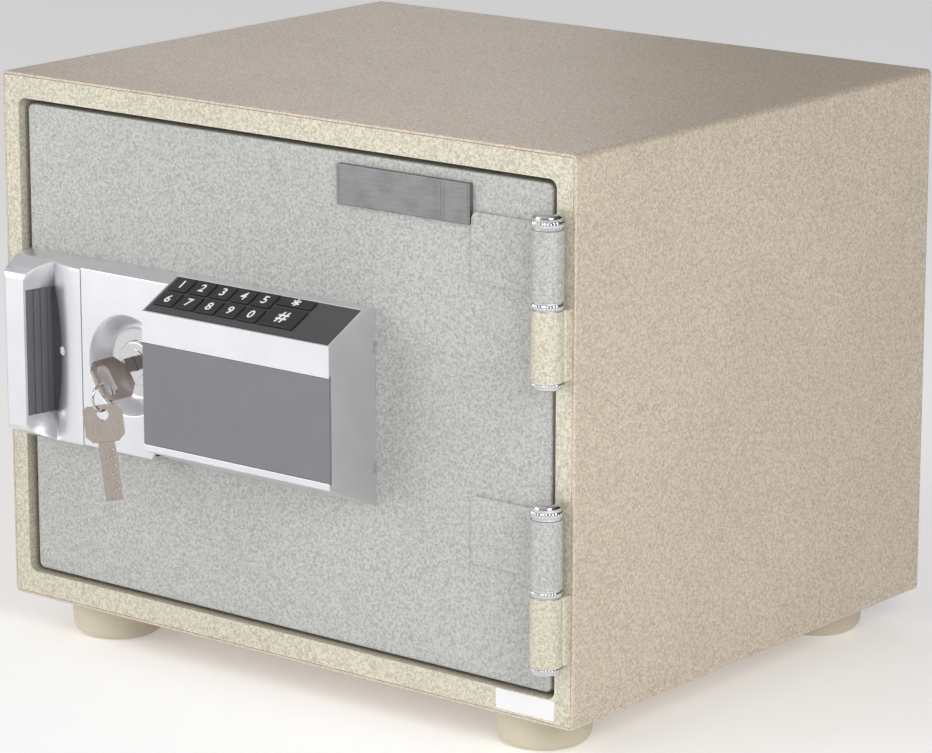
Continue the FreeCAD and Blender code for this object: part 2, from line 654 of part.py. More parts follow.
def liner_outline(rib, margin):
    """Plan of the grip lining: ribbed towards the pocket, with a foot that runs under the ramp."""
    face = []
    for k in range(RIB_COUNT):
        for step, depth in ((0, 0), (0.55, 0), (0.55, rib), (1, rib)):
            y = -20.2 + (k + step) * RIB_PITCH
            face.append((grip_wall_x(y) - depth, y))
    tail = grip_wall_x(POCKET_Y) + 0.6 + GRIP_BULGE + 0.8
    back = [(grip_wall_x(POCKET_Y), POCKET_Y), (tail + margin, POCKET_Y),
            (tail + margin, POCKET_Y + 1.2 + margin), (grip_wall_x(POCKET_Y) - 1.8 - margin, POCKET_Y + 1.2 + margin),
            (grip_wall_x(-20.2) - 1.8 - margin, -20.2 - margin), (grip_wall_x(-20.2), -20.2 - margin)]
    return face + back


def grip_liner():
    """The dark ribbed lining of the pull bar's inner wall and of the pocket's floor."""
    middle = LZ - GRIP_LOW
    return along_z(liner_outline(0.7, 0.0), middle - GRIP_HALF + SEAM, middle + GRIP_HALF - SEAM)


def handle_screw():
    """The small pan-head screw in the pull's sloping side."""
    head = rod(2.6, (SCREW_X, SCREW_Y - 2.2, LZ), Y_AXIS, 2.2)
    head = head.cut(box((SCREW_X - 3, SCREW_X + 3), (SCREW_Y - 3, SCREW_Y - 1.4), (LZ - 0.4, LZ + 0.4)))
    return joined([head, rod(1.5, (SCREW_X, SCREW_Y - 0.5, LZ), Y_AXIS, 9.0)])


SLOPE_ANGLE = math.degrees(math.atan2(SLOPE_RISE, SLOPE_RUN))
SLOPE_LENGTH = math.hypot(SLOPE_RISE, SLOPE_RUN)


def on_slope(shape):
    """Place a shape drawn in the keypad's own frame: u along X, v up the slope, w out of it."""
    placed = turned(shape, (0, 0, 0), X_AXIS, SLOPE_ANGLE)
    placed.translate(V(0, FRONT_Y, LZ + SLOPE_FOOT))
    return placed


def keypad_housing():
    """The wedge-shaped moulding that holds the keypad, its board and the cells."""
    x = (HOUSING_X0, HOUSING_X1)
    top = SLOPE_FOOT + SLOPE_RISE
    outline = [(DOOR_Y, top - 0.4), (FRONT_Y + SLOPE_RUN, top), (FRONT_Y, SLOPE_FOOT), (FRONT_Y, -38.3),
               (DOOR_Y, -55.2)]
    body = along_x([(y, LZ + z) for y, z in outline], *x)
    inside = [(DOOR_Y + 1, top - 3.6), (FRONT_Y + SLOPE_RUN + 1, top - 4.8),
              (FRONT_Y + 4.8, SLOPE_FOOT - 2.9), (FRONT_Y + 4.8, -35.6), (DOOR_Y + 1, -51.5)]
    hollow = along_x([(y, LZ + z) for y, z in inside], x[0] + MOULD_T, x[1] - MOULD_T)
    recess = box((x[0] - 1, x[1] + 1), (FRONT_Y - 1, FRONT_Y + COVER_T + GAP),
                 (LZ + COVER_Z[0] - GAP, LZ + COVER_Z[1] + GAP))
    groove = box((x[0] - 1, x[1] + 1), (FRONT_Y + 0.7, FRONT_Y + COVER_T + GAP),
                 (LZ + COVER_Z[0] - 1.3, LZ + COVER_Z[1] + 1.3))
    window = box((x[0] + 6, x[1] - 6), (FRONT_Y, FRONT_Y + 6), (LZ + COVER_Z[0] + 5, LZ + COVER_Z[1] - 5))
    seat = on_slope(box((x[0] + 1.2, x[1] - 1.2), (1.0, SLOPE_LENGTH - 0.5), (-2.0, 4.0)))
    well = on_slope(box((x[0] + 2.8, x[1] - 2.8), (4.6, SLOPE_LENGTH - 0.7), (-9.0, 4.0)))
    clips = [box((x[1] - 1.5, x[1] + 1), (0.4, DOOR_Y + 1), (LZ + z - 3, LZ + z + 3)) for z in (-33, 34)]
    return cut_all(body, [hollow, recess, groove, window, seat, well] + clips)


def key_places():
    """Name, middle and size of each keypad key in the keypad's own frame."""
    places = []
    for row, digits in enumerate(("12345", "67890")):
        for column, digit in enumerate(digits):
            u = HOUSING_X0 + KEY_IN + column * KEY_PITCH
            places.append(("digit_key_" + digit, u, KEY_ROWS[row], KEY_W, KEY_H))
    left = HOUSING_X0 + KEY_IN + 4.5 * KEY_PITCH + 0.9
    places.append(("small_function_key", left + 12.4, 27.6, 24.8, 7.0))
    places.append(("large_function_key", left + 12.4, 14.5, 24.8, 15.6))
    return places


def keypad_panel():
    """The dark face plate, with a hole for every key."""
    g = GAP
    plate = box((HOUSING_X0 + 1.2 + g, HOUSING_X1 - 1.2 - g), (1.0 + g, SLOPE_LENGTH - 0.5 - g), (-2.0, 0.1))
    holes = []
    for name, u, v, w, h in key_places():
        size = (w / 2 + GAP, h / 2 + GAP)
        holes.append(box((u - size[0], u + size[0]), (v - size[1], v + size[1]), (-3, 1)))
    return on_slope(cut_all(plate, holes))


def keypad_key(u, v, w, h):
    """A low cap with rounded corners and a wider flange under the face plate."""
    cap = box((u - w / 2, u + w / 2), (v - h / 2, v + h / 2), (-3.2, KEY_RISE))
    cap = rounded(cap, Z_AXIS, 1.2)
    cap = cap.makeFillet(0.4, [e for e in cap.Edges if e.BoundBox.ZMin > KEY_RISE - 0.01])
    flange = box((u - w / 2 - 0.6, u + w / 2 + 0.6), (v - h / 2 - 0.2, v + h / 2 + 0.2), (-3.4, -2.35))
    return on_slope(joined([cap, flange]))


def circuit_board():
    """The printed board under the keys."""
    top = -3.4 - KEY_TRAVEL - 0.6
    return on_slope(box((HOUSING_X0 + 5, HOUSING_X1 - 5), (5.0, 31.0), (top - 1.6, top)))


def battery_cover():
    """The grey front cover, held by a tongue along its top and bottom edges."""
    x = (HOUSING_X0 + 0.1, HOUSING_X1)
    plate = box(x, (FRONT_Y + 0.1, FRONT_Y + COVER_T), (LZ + COVER_Z[0], LZ + COVER_Z[1]))
    tongue = box(x, (FRONT_Y + 1.0, FRONT_Y + COVER_T), (LZ + COVER_Z[0] - 1.0, LZ + COVER_Z[1] + 1.0))
    return joined([plate, tongue])


def battery_holder():
    """The tray behind the cover that carries the cells."""
    x = (HOUSING_X0 + 9.0, HOUSING_X1 - 9.5)
    z = (LZ - 28.5, LZ + 17.5)
    block = box(x, (FRONT_Y + 5.0, CELL_BACK + 2.4), z)
    bays = []
    for zc in cell_heights():
        height = (zc - CELL_R - GAP, zc + CELL_R + GAP)
        bays.append(box((x[0] + 2, x[1] - 2), (FRONT_Y + 4, CELL_BACK + 0.4), height))
    return cut_all(block, bays)


def cell_heights():
    """The two rows of cells."""
    return (LZ - 5.5 - 11.0, LZ - 5.5 + 11.0)


def battery_cells():
    """Four AA cells with their raised ends."""
    cells = []
    for z in cell_heights():
        for x in (HOUSING_X0 + 12.0, HOUSING_X0 + 69.6):
            can = rod(CELL_R, (x, CELL_BACK - CELL_R, z), X_AXIS, CELL_L - 1.2)
            tip = rod(2.6, (x + CELL_L - 1.3, CELL_BACK - CELL_R, z), X_AXIS, 1.3)
            cells.append(joined([can, tip]))
    return cells


def nameplate():
    """The blank plate on the door's upper right."""
    plate = box((DOOR_X - 144.5, DOOR_X - 53.0), (DOOR_Y - 3.0, DOOR_Y), (DOOR_Z1 - 28.2, DOOR_Z1 - 6.0))
    plate = rounded(plate, Y_AXIS, 1.0)
    return plate.makeFillet(0.5, [e for e in plate.Edges if e.BoundBox.YMax < 0.01])


# ---- keys and ring --------------------------------------------------------------------------
def hexagon_bow(middle, half, y0, y1, chamfer):
    """Outline of a key's bow between two distances along the key."""
    s = 1 if y1 > y0 else -1
    near = chamfer * 0.7
    outline = [(chamfer - half, y0), (-half, y0 + s * chamfer), (-half, y1 - s * near), (near - half, y1),
               (half - near, y1), (half, y1 - s * near), (half, y0 + s * chamfer), (half - chamfer, y0)]
    return [(middle + x, y) for x, y in outline]


def flat_key(bow, shoulder, end, slot, slot_y, blade_half, blade_end):
    """A flat key drawn along Y; bow is (middle, half width, chamfer) and slot (half length, radius)."""
    t = 1.0
    middle, half, chamfer = bow
    head = along_z(hexagon_bow(middle, half, shoulder, end, chamfer), -t, t)
    reach = (min(blade_end, shoulder + 0.1), max(blade_end, shoulder - 0.1))
    blade = box((-blade_half, blade_half), reach, (-t, t))
    slot_half, slot_r = slot
    run = slot_half - slot_r
    holes = [rod(slot_r, (middle + x, slot_y, -5), Z_AXIS, 10) for x in (-run, run)]
    if run > 0:
        holes.append(box((middle - run, middle + run), (slot_y - slot_r, slot_y + slot_r), (-5, 5)))
    return cut_all(joined([head, blade]), holes)


def lock_key():
    """The key in the cylinder, drawn flat and then turned to its open position."""
    bow = (BOW_SHIFT, BOW_HALF, 6.5)
    key = flat_key(bow, -13.0, BOW_END, (9.4, 4.5), BOW_END + 2.8 + 4.5, 4.1, 2.6)
    return key_in_lock(key)


def key_in_lock(shape):
    """Carry a shape from the key's flat drawing frame to the lock's axis."""
    placed = turned(shape, (0, 0, 0), Y_AXIS, KEY_TILT)
    placed.translate(V(LOCK_X, 0, LZ))
    return placed


def ring_pivot():
    """Where the ring hangs on the bow: on the bar between the slot and the bow's end."""
    tilt = math.radians(KEY_TILT)
    return (LOCK_X + RING_OFFSET * math.cos(tilt), BAR_CENTRE_Y, LZ - RING_OFFSET * math.sin(tilt))


RING_DROP = RING_R - RING_WIRE - 2.6


def key_ring():
    """A round wire ring hanging through the bow's slot."""
    x, y, z = ring_pivot()
    return Part.makeTorus(RING_R, RING_WIRE, V(x, y, z - RING_DROP), X_AXIS)


def spare_key():
    """The second key, hanging from the bottom of the ring."""
    x, y, z = ring_pivot()
    bottom = z - RING_DROP - RING_R
    hole_r = 3.3
    hole_z = bottom - (hole_r - RING_WIRE - 0.4)
    key = flat_key((0.0, 11.0, 3.8), -15.8, 5.4, (hole_r, hole_r), 0.0, 4.7, -50.0)
    dimples = [cone(1.3, 0.5, (2.4, -20.0 - 4.6 * k, 1.01), V(0, 0, -1), 0.5) for k in range(6)]
    groove = box((-1.3, -0.3), (-49.0, -17.0), (0.6, 1.1))
    key = cut_all(key, dimples + [groove])
    key = turned(key, (0, 0, 0), X_AXIS, 90)
    key = turned(key, (0, 0, 0), Y_AXIS, -SPARE_LEAN)
    key = turned(key, (0, 0, 0), Z_AXIS, SPARE_TURN)
    key.translate(V(x, y, hole_z))
    return key


def build():
    """Write every node."""
    os.makedirs("parts", exist_ok=True)
    export("outer_casing", outer_casing())
    export("front_frame", front_frame())
    export("body_insulation", body_insulation())
    export("inner_liner", inner_liner())
    export("pull_out_tray", pull_out_tray())
    export("door_seal", door_seal())
    export("feet", *[foot(x, y) for x, y in foot_places()])
    export("foot_screws", *[foot_screw(x, y) for x, y in foot_places()])
    export("serial_label", serial_label())
    export("frame_hinge_knuckles", *[frame_knuckle(z) for z in HINGE_Z])
    export("door_hinge_leaves", *[door_leaf(z) for z in HINGE_Z])
    export("hinge_pins", *[hinge_pin(z) for z in HINGE_Z])
    export("hinge_foot_caps", *[hinge_foot_cap(z) for z in HINGE_Z])
    export("hinge_washers", *[hinge_washer(z) for z in HINGE_Z])
    export("door_skin", door_skin())
    export("door_core", door_core())
    export("door_inner_panel", door_inner_panel())
    export("plug_insulation", plug_insulation())
    export("door_dogs", *[door_dog(z) for z in DOG_Z])
    export("bolt_guides", *[bolt_guide(z) for z in BOLT_Z])
    export("locking_bolts", *[locking_bolt(z) for z in BOLT_Z])
    export("bolt_carriage", bolt_carriage())
    export("solenoid_body", solenoid_body())
    export("solenoid_plunger", solenoid_plunger())
    export("escutcheon", escutcheon())
    export("lock_bezel", lock_bezel())
    export("cylinder_body", cylinder_body())
    export("cylinder_plug", cylinder_plug())
    export("lock_cam", lock_cam())
    export("handle", handle())
    export("grip_liner", grip_liner())
    export("handle_screw", handle_screw())
    export("keypad_housing", keypad_housing())
    export("keypad_panel", keypad_panel())
    export("circuit_board", circuit_board())
    export("battery_cover", battery_cover())
    export("battery_holder", battery_holder())
    export("battery_cells", *battery_cells())
    export("nameplate", nameplate())
    for name, u, v, w, h in key_places():
        export(name, keypad_key(u, v, w, h))
    export("lock_key", lock_key())
    export("key_ring", key_ring())
    export("spare_key", spare_key())


build()
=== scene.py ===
"""Small fire-resistant document safe: finishes, printed marks, trim and studio."""

import json
import math

import bpy
import numpy as np
from bpy.props import (
    FloatProperty,
    FloatVectorProperty,
    IntProperty,
    PointerProperty,
)
from mathutils import Matrix, Vector


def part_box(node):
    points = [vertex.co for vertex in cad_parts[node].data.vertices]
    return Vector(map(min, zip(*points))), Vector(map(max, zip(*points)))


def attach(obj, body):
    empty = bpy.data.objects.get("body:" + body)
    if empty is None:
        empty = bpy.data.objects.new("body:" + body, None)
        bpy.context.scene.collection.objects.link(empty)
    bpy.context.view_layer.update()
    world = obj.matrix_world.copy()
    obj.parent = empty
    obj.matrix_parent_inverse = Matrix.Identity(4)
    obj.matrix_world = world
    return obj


bl_info = {
    "name": "Document Safe",
    "version": (1, 0, 0),
    "blender": (4, 5, 0),
    "location": "3D View > Sidebar > Safe",
    "description": "Finishes, printed marks and trim for a small fire-resistant document safe",
    "category": "Object",
}

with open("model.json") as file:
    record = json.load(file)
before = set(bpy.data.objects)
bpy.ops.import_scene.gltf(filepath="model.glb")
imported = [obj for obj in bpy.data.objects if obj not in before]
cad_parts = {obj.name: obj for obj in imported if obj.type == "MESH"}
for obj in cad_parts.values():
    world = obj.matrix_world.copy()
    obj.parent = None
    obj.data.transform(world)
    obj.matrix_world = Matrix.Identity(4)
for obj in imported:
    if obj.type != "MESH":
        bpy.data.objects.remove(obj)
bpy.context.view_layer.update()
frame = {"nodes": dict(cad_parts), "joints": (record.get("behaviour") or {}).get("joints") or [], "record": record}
NODES = frame["nodes"]
JOINTS = {joint["name"]: joint for joint in frame["joints"]}
SLOT_OF = {part["node"]: part["material_slot"] for part in frame["record"]["subparts"]}
MM = 0.001
WELD_DISTANCE = 0.002 * MM
INK_SUNK = 0.02 * MM
FLUTE_STEPS = 8
DIGITS = "1234567890"


# ---- settings -------------------------------------------------------------------------------
def colour(name, description, default):
    """A colour setting."""
    return FloatVectorProperty(
        name=name, description=description, default=default, subtype="COLOR", size=3, min=0.0, max=1.0
    )


def length(name, description, default):
    """A length setting in metres."""
    return FloatProperty(
        name=name, description=description, default=default, unit="LENGTH", min=0.0, precision=5,
    )


class SafePaint(bpy.types.PropertyGroup):
    """Painted and lined surfaces."""

    casing: colour("Casing", "Paint of the outer casing", (0.62, 0.525, 0.42))
    # Painted light: the frame is the casing's own paint, set lighter and yellower to stand in for the light
    # falling on its front faces.
    front: colour("Front frame", "Paint of the frame round the door", (0.62, 0.585, 0.465))
    door: colour("Door", "Paint of the door and its hinge leaves", (0.475, 0.475, 0.455))
    liner: colour("Liner", "Paint of the inside sheet", (0.58, 0.56, 0.48))
    grain: length("Grain", "Size of one fleck of the hammered paint", 0.0014)
    relief: length("Relief", "Depth of the hammered paint", 0.00016)


class SafeTrim(bpy.types.PropertyGroup):
    """The lock unit's mouldings and the printing on them."""

    silver: colour("Mouldings", "Colour of the silver mouldings", (0.76, 0.76, 0.79))
    cover: colour("Battery cover", "Colour of the front cover", (0.20, 0.20, 0.215))
    panel: colour("Keypad panel", "Colour of the plate round the keys", (0.07, 0.067, 0.073))
    caps: colour("Key caps", "Colour of the keypad's keys", (0.018, 0.018, 0.019))
    print_colour: colour("Printing", "Colour of the numbers on the keys", (0.95, 0.95, 0.94))
    edge_round: length("Edge rounding", "Radius on the mouldings' outer edges", 0.0004)
    digit_height: length("Number height", "Height of the numbers on the keys", 0.0062)
    print_thickness: length("Print thickness", "How far the printing stands up", 0.00006)


class SafeHardware(bpy.types.PropertyGroup):
    """Hinges, keys and nameplate."""

    ring_teeth: IntProperty(name="Ring teeth", description="Flutes round each hinge ring", default=26, min=8)
    ring_depth: length("Flute depth", "Depth of the hinge rings' flutes", 0.00045)
    plate: colour("Nameplate", "Colour of the blank nameplate", (0.27, 0.265, 0.27))
    key_metal: colour("Key metal", "Colour of the two keys", (0.42, 0.37, 0.33))


class SafeStudio(bpy.types.PropertyGroup):
    """Camera, lights and floor."""

    camera_place: FloatVectorProperty(
        name="Camera place",
        description="Where the camera stands from the middle of the front frame's foot line",
        subtype="TRANSLATION", unit="LENGTH", default=(1.458007, -1.647711, 0.728945),
    )
    camera_azimuth: FloatProperty(
        name="Camera azimuth", description="Turn of the camera round the safe", subtype="ANGLE",
        default=0.677006,
    )
    camera_elevation: FloatProperty(
        name="Camera elevation", description="Height angle of the camera", subtype="ANGLE", default=0.242748
    )
    lens: FloatProperty(name="Lens", description="Focal length in millimetres", default=159.35, min=1.0)
    floor_size: length("Floor size", "Width of the square floor", 24.0)
    floor: colour("Floor", "Colour of the floor", (0.96, 0.96, 0.96))
    floor_glow: FloatProperty(
        name="Floor glow", description="Light given off by the floor", default=0.22, min=0.0,
    )
    key_power: FloatProperty(
        name="Key light", description="Power of the front-left softbox", default=19.0, min=0.0,
    )
    side_power: FloatProperty(
        name="Side light", description="Power of the right-hand softbox", default=11.0, min=0.0,
    )
    top_power: FloatProperty(
        name="Top light", description="Power of the overhead softbox", default=0.8, min=0.0,
    )
    sky: FloatProperty(
        name="Sky", description="Strength of the even light from all round", default=0.62, min=0.0,
    )


# ---- materials ------------------------------------------------------------------------------
def node(tree, kind, inputs=None, **settings):
    """Add a shader node; each input is a socket to link from or a value to set."""
    made = tree.nodes.new(kind)
    for key, value in settings.items():
        setattr(made, key, value)
    for key, value in (inputs or {}).items():
        if isinstance(value, bpy.types.NodeSocket):
            tree.links.new(value, made.inputs[key])
        else:
            made.inputs[key].default_value = value
    return made


def ramp(tree, value, low, high, start=0.0, end=1.0):
    """A colour that goes from low to high as value goes from start to end."""
    made = node(tree, "ShaderNodeValToRGB", {"Fac": value})
    made.color_ramp.elements[0].position = start
    made.color_ramp.elements[1].position = end
    made.color_ramp.elements[0].color = (*low, 1.0)
    made.color_ramp.elements[1].color = (*high, 1.0)
    return made.outputs["Color"]


def spread(tree, value, low, high, start=0.0, end=1.0):
    """A number that goes from low to high as value goes from start to end."""
    made = node(
        tree, "ShaderNodeMapRange",
        {"Value": value, "From Min": start, "From Max": end, "To Min": low, "To Max": high},
    )
    return made.outputs["Result"]


def shade(tone, factor):
    """A colour made lighter or darker, kept within 0 to 1."""
    return tuple(min(1.0, max(0.0, part * factor)) for part in tone)


def start_material(name):
    """A new node material: its tree, shader and object coordinates."""
    made = bpy.data.materials.new(name)
    made.use_nodes = True
    tree = made.node_tree
    tree.nodes.clear()
    shader = tree.nodes.new("ShaderNodeBsdfPrincipled")
    out = tree.nodes.new("ShaderNodeOutputMaterial")
    tree.links.new(shader.outputs["BSDF"], out.inputs["Surface"])
    place = tree.nodes.new("ShaderNodeTexCoord").outputs["Object"]
    return made, tree, shader, place


def noise(tree, place, cell, detail=2.0, roughness=0.5, distortion=0.0):
    """Cloud noise whose cells are about one cell length across."""
    made = node(
        tree, "ShaderNodeTexNoise",
        {"Vector": place, "Scale": 1.0 / cell, "Detail": detail, "Roughness": roughness,
         "Distortion": distortion},
    )
    return made.outputs["Fac"]


def stretched(tree, place, factors):
    """Object coordinates scaled along each axis, for brushed lines."""
    return node(tree, "ShaderNodeMapping", {"Vector": place, "Scale": factors}).outputs["Vector"]


def bumped(tree, shader, height, depth, strength=1.0):
    """Give the shader a relief of a real depth from a height between 0 and 1."""
    made = node(tree, "ShaderNodeBump", {"Height": height, "Distance": depth, "Strength": strength})
    tree.links.new(made.outputs["Normal"], shader.inputs["Normal"])


def blend(tree, share, low, high):
    """A colour between two, by a share from 0 to 1."""
    made = node(tree, "ShaderNodeMix", {0: share, 6: low, 7: high}, data_type="RGBA")
    return made.outputs[2]


def rubbed(tree, place, tone, bare, width):
    """Show a barer tone in patches where the surface turns over an edge."""
    over = node(tree, "ShaderNodeBevel", {"Radius": width}, samples=4).outputs["Normal"]
    flat = tree.nodes.new("ShaderNodeNewGeometry").outputs["Normal"]
    turn = node(tree, "ShaderNodeVectorMath", {0: over, 1: flat}, operation="DOT_PRODUCT").outputs["Value"]
    edge = spread(tree, turn, 1.0, 0.0, 0.78, 0.99)
    patch = spread(tree, noise(tree, place, 0.007, detail=4.0, roughness=0.7), 0.05, 0.75, 0.42, 0.62)
    share = node(tree, "ShaderNodeMath", {0: edge, 1: patch}, operation="MULTIPLY").outputs["Value"]
    return blend(tree, share, tone, (*bare, 1.0))


def hammered_paint(name, tone, grain, relief):
    """Hammertone paint: worm-like light and dark flecks with small craters under a clear gloss."""
    made, tree, shader, place = start_material(name)
    flecks = noise(tree, place, grain, detail=2.0, roughness=0.55, distortion=0.7)
    drift = noise(tree, place, 0.11, detail=2.0)
    fleck_tone = ramp(tree, flecks, shade(tone, 0.76), shade(tone, 1.17), 0.36, 0.60)
    drift_tone = ramp(tree, drift, (0.95, 0.95, 0.95), (1.0, 1.0, 1.0), 0.35, 0.65)
    mixed = node(
        tree, "ShaderNodeMix", {0: 1.0, 6: fleck_tone, 7: drift_tone}, data_type="RGBA", blend_type="MULTIPLY"
    )
    worn = rubbed(tree, place, mixed.outputs[2], shade(tone, 1.35), 0.0012)
    tree.links.new(worn, shader.inputs["Base Color"])
    tree.links.new(spread(tree, flecks, 0.52, 0.36, 0.3, 0.7), shader.inputs["Roughness"])
    shader.inputs["Metallic"].default_value = 0.15
    shader.inputs["Coat Weight"].default_value = 0.15
    shader.inputs["Coat Roughness"].default_value = 0.3
    bumped(tree, shader, flecks, relief)
    return made


def moulded_plastic(name, tone, gloss=0.42, metallic=0.0, grain=0.0006, relief=0.00002):
    """Injection-moulded plastic: fine spark-eroded grain and a faint drift in colour and gloss."""
    made, tree, shader, place = start_material(name)
    fine = noise(tree, place, grain, detail=2.0)
    drift = noise(tree, place, 0.03, detail=3.0)
    drifting = ramp(tree, drift, shade(tone, 0.95), shade(tone, 1.02), 0.3, 0.7)
    tree.links.new(rubbed(tree, place, drifting, shade(tone, 1.3), 0.0006), shader.inputs["Base Color"])
    tree.links.new(spread(tree, fine, gloss - 0.06, gloss + 0.06, 0.3, 0.7), shader.inputs["Roughness"])
    shader.inputs["Metallic"].default_value = metallic
    bumped(tree, shader, fine, relief)
    return made


def bright_metal(name, tone, gloss=0.14, lines=(1.0, 1.0, 1.0), relief=0.00001):
    """Plated or brushed metal: fine lines or handling marks that break up the reflection."""
    made, tree, shader, place = start_material(name)
    marks = noise(tree, stretched(tree, place, lines), 0.0009, detail=4.0, roughness=0.65)
    smudge = noise(tree, place, 0.012, detail=3.0)
    tree.links.new(
        ramp(tree, marks, shade(tone, 0.86), shade(tone, 1.05), 0.3, 0.7), shader.inputs["Base Color"],
    )
    tree.links.new(spread(tree, smudge, gloss * 0.7, gloss * 1.5, 0.3, 0.7), shader.inputs["Roughness"])
    shader.inputs["Metallic"].default_value = 1.0
    bumped(tree, shader, marks, relief)
    return made


def mineral_fill(name, tone):
    """Poured fire-resistant fill: chalky with fine pores and soft stains."""
    made, tree, shader, place = start_material(name)
    stains = noise(tree, place, 0.02, detail=5.0, roughness=0.65)
    pores = node(tree, "ShaderNodeTexVoronoi", {"Vector": place, "Scale": 420.0}).outputs["Distance"]
    tree.links.new(
        ramp(tree, stains, shade(tone, 0.8), shade(tone, 1.08), 0.3, 0.7), shader.inputs["Base Color"],
    )
    shader.inputs["Roughness"].default_value = 0.92
    bumped(tree, shader, spread(tree, pores, 0.0, 1.0, 0.0, 0.35), 0.0003)
    return made


def rubber_strip(name, tone):
    """Dark strip with a dull, slightly dusty skin."""
    made, tree, shader, place = start_material(name)
    dust = noise(tree, place, 0.004, detail=4.0)
    tree.links.new(ramp(tree, dust, tone, shade(tone, 1.9), 0.4, 0.75), shader.inputs["Base Color"])
    tree.links.new(spread(tree, dust, 0.6, 0.85), shader.inputs["Roughness"])
    bumped(tree, shader, dust, 0.0001)
    return made


def circuit_laminate(name, tone):
    """Lacquered board with a hint of copper tracks underneath."""
    made, tree, shader, place = start_material(name)
    tracks = node(
        tree, "ShaderNodeTexBrick",
        {"Vector": place, "Scale": 160.0, "Color1": (*tone, 1.0), "Color2": (*shade(tone, 1.25), 1.0),
         "Mortar": (*shade(tone, 0.6), 1.0), "Mortar Size": 0.03},
    )
    tree.links.new(tracks.outputs["Color"], shader.inputs["Base Color"])
    shader.inputs["Roughness"].default_value = 0.28
    bumped(tree, shader, tracks.outputs["Fac"], 0.00003)
    return made


def cell_wrapper(name, tone):
    """Shrink-wrapped cells: a coloured sleeve with a lighter band by one end of each."""
    made, tree, shader, place = start_material(name)
    wave = node(
        tree, "ShaderNodeTexWave", {"Vector": place, "Scale": 5.2, "Phase Offset": 0.6}
    ).outputs["Fac"]
    tree.links.new(ramp(tree, wave, tone, (0.62, 0.48, 0.22), 0.86, 0.88), shader.inputs["Base Color"])
    shader.inputs["Roughness"].default_value = 0.24
    bumped(tree, shader, noise(tree, place, 0.006), 0.00004)
    return made


def printed_ink(name, tone):
    """Screen-printed ink, slightly patchy."""
    made, tree, shader, place = start_material(name)
    patch = noise(tree, place, 0.0012, detail=3.0)
    tree.links.new(ramp(tree, patch, shade(tone, 0.86), tone, 0.35, 0.55), shader.inputs["Base Color"])
    shader.inputs["Roughness"].default_value = 0.5
    bumped(tree, shader, patch, 0.00001)
    return made


def finishes():
    """One material for each of the record's material slots."""
    paint, trim, hardware = (
        getattr(bpy.context.scene, name) for name in ("safe_paint", "safe_trim", "safe_hardware")
    )
    grain, relief = paint.grain, paint.relief
    return {
        "casing_paint": lambda: hammered_paint(
            "casing_hammertone", tuple(paint.casing), grain * 0.9, relief * 0.8,
        ),
        # Painted light: the frame's paint is the casing paint made lighter and yellower for the light on the front
        # faces.
        "frame_paint": lambda: hammered_paint("frame_hammertone", tuple(paint.front), grain, relief),
        "door_paint": lambda: hammered_paint("door_hammertone", tuple(paint.door), grain, relief),
        "liner_paint": lambda: hammered_paint("liner_paint", tuple(paint.liner), grain * 0.5, relief * 0.4),
        "fire_fill": lambda: mineral_fill("fire_fill", (0.62, 0.60, 0.54)),
        "seal_strip": lambda: rubber_strip("seal_strip", (0.03, 0.028, 0.026)),
        "foot_plastic": lambda: moulded_plastic(
            "foot_plastic", (0.62, 0.57, 0.44), 0.5, grain=0.0009, relief=0.00004,
        ),
        "zinc_steel": lambda: bright_metal("zinc_steel", (0.62, 0.63, 0.64), 0.3, (1.0, 1.0, 0.15)),
        "bright_chrome": lambda: bright_metal("bright_chrome", (0.66, 0.66, 0.67), 0.10),
        "label_film": lambda: moulded_plastic(
            "label_film", (0.86, 0.86, 0.87), 0.35, grain=0.0015, relief=0.00001,
        ),
        "tray_plastic": lambda: moulded_plastic(
            "tray_plastic", (0.36, 0.36, 0.34), 0.5, grain=0.0009, relief=0.00005,
        ),
        "white_plastic": lambda: moulded_plastic("silver_moulding", tuple(trim.silver), 0.34, metallic=0.92),
        "grip_plastic": lambda: moulded_plastic("grip_plastic", (0.13, 0.127, 0.133), 0.36, grain=0.0008),
        "keypad_plastic": lambda: moulded_plastic("keypad_panel_film", tuple(trim.panel), 0.34),
        "key_plastic": lambda: moulded_plastic("key_cap_plastic", tuple(trim.caps), 0.42),
        "cover_plastic": lambda: moulded_plastic(
            "cover_plastic", tuple(trim.cover), 0.55, grain=0.0009, relief=0.00004,
        ),
        "board": lambda: circuit_laminate("board_laminate", (0.015, 0.12, 0.045)),
        "cell_wrap": lambda: cell_wrapper("cell_wrapper", (0.03, 0.08, 0.3)),
        "holder_plastic": lambda: moulded_plastic("holder_plastic", (0.02, 0.02, 0.021), 0.45),
        "plate_metal": lambda: bright_metal("nameplate_metal", tuple(hardware.plate), 0.42, (0.06, 1.0, 1.0)),
        "nickel_key": lambda: bright_metal(
            "key_nickel", tuple(hardware.key_metal), 0.16, (1.0, 1.0, 0.3), 0.00002,
        ),
        "solenoid_steel": lambda: bright_metal("solenoid_steel", (0.5, 0.5, 0.5), 0.35, (1.0, 1.0, 0.1)),
    }


def finish(slot):
    """The material for a slot, made once."""
    names = bpy.context.scene.get("safe_finishes")
    known = dict(names) if names else {}
    if slot not in known:
        known[slot] = finishes()[slot]().name
        bpy.context.scene["safe_finishes"] = known
    return bpy.data.materials[known[slot]]


def dress(nodes):
    """Put the right finish on each CAD node."""
    for name in nodes:
        material = finish(SLOT_OF[name])
        for holder in NODES[name].material_slots:
            holder.material = material


def soften(name, radius):
    """Round a CAD node's hard edges with live modifiers; its own mesh stays as it is."""
    thing = NODES[name]
    weld = thing.modifiers.new("weld", "WELD")
    weld.merge_threshold = WELD_DISTANCE
    bevel = thing.modifiers.new("edge_round", "BEVEL")
    bevel.width = radius
    bevel.segments = 2
    bevel.limit_method = "ANGLE"
    bevel.angle_limit = math.radians(32)
    bevel.harden_normals = False


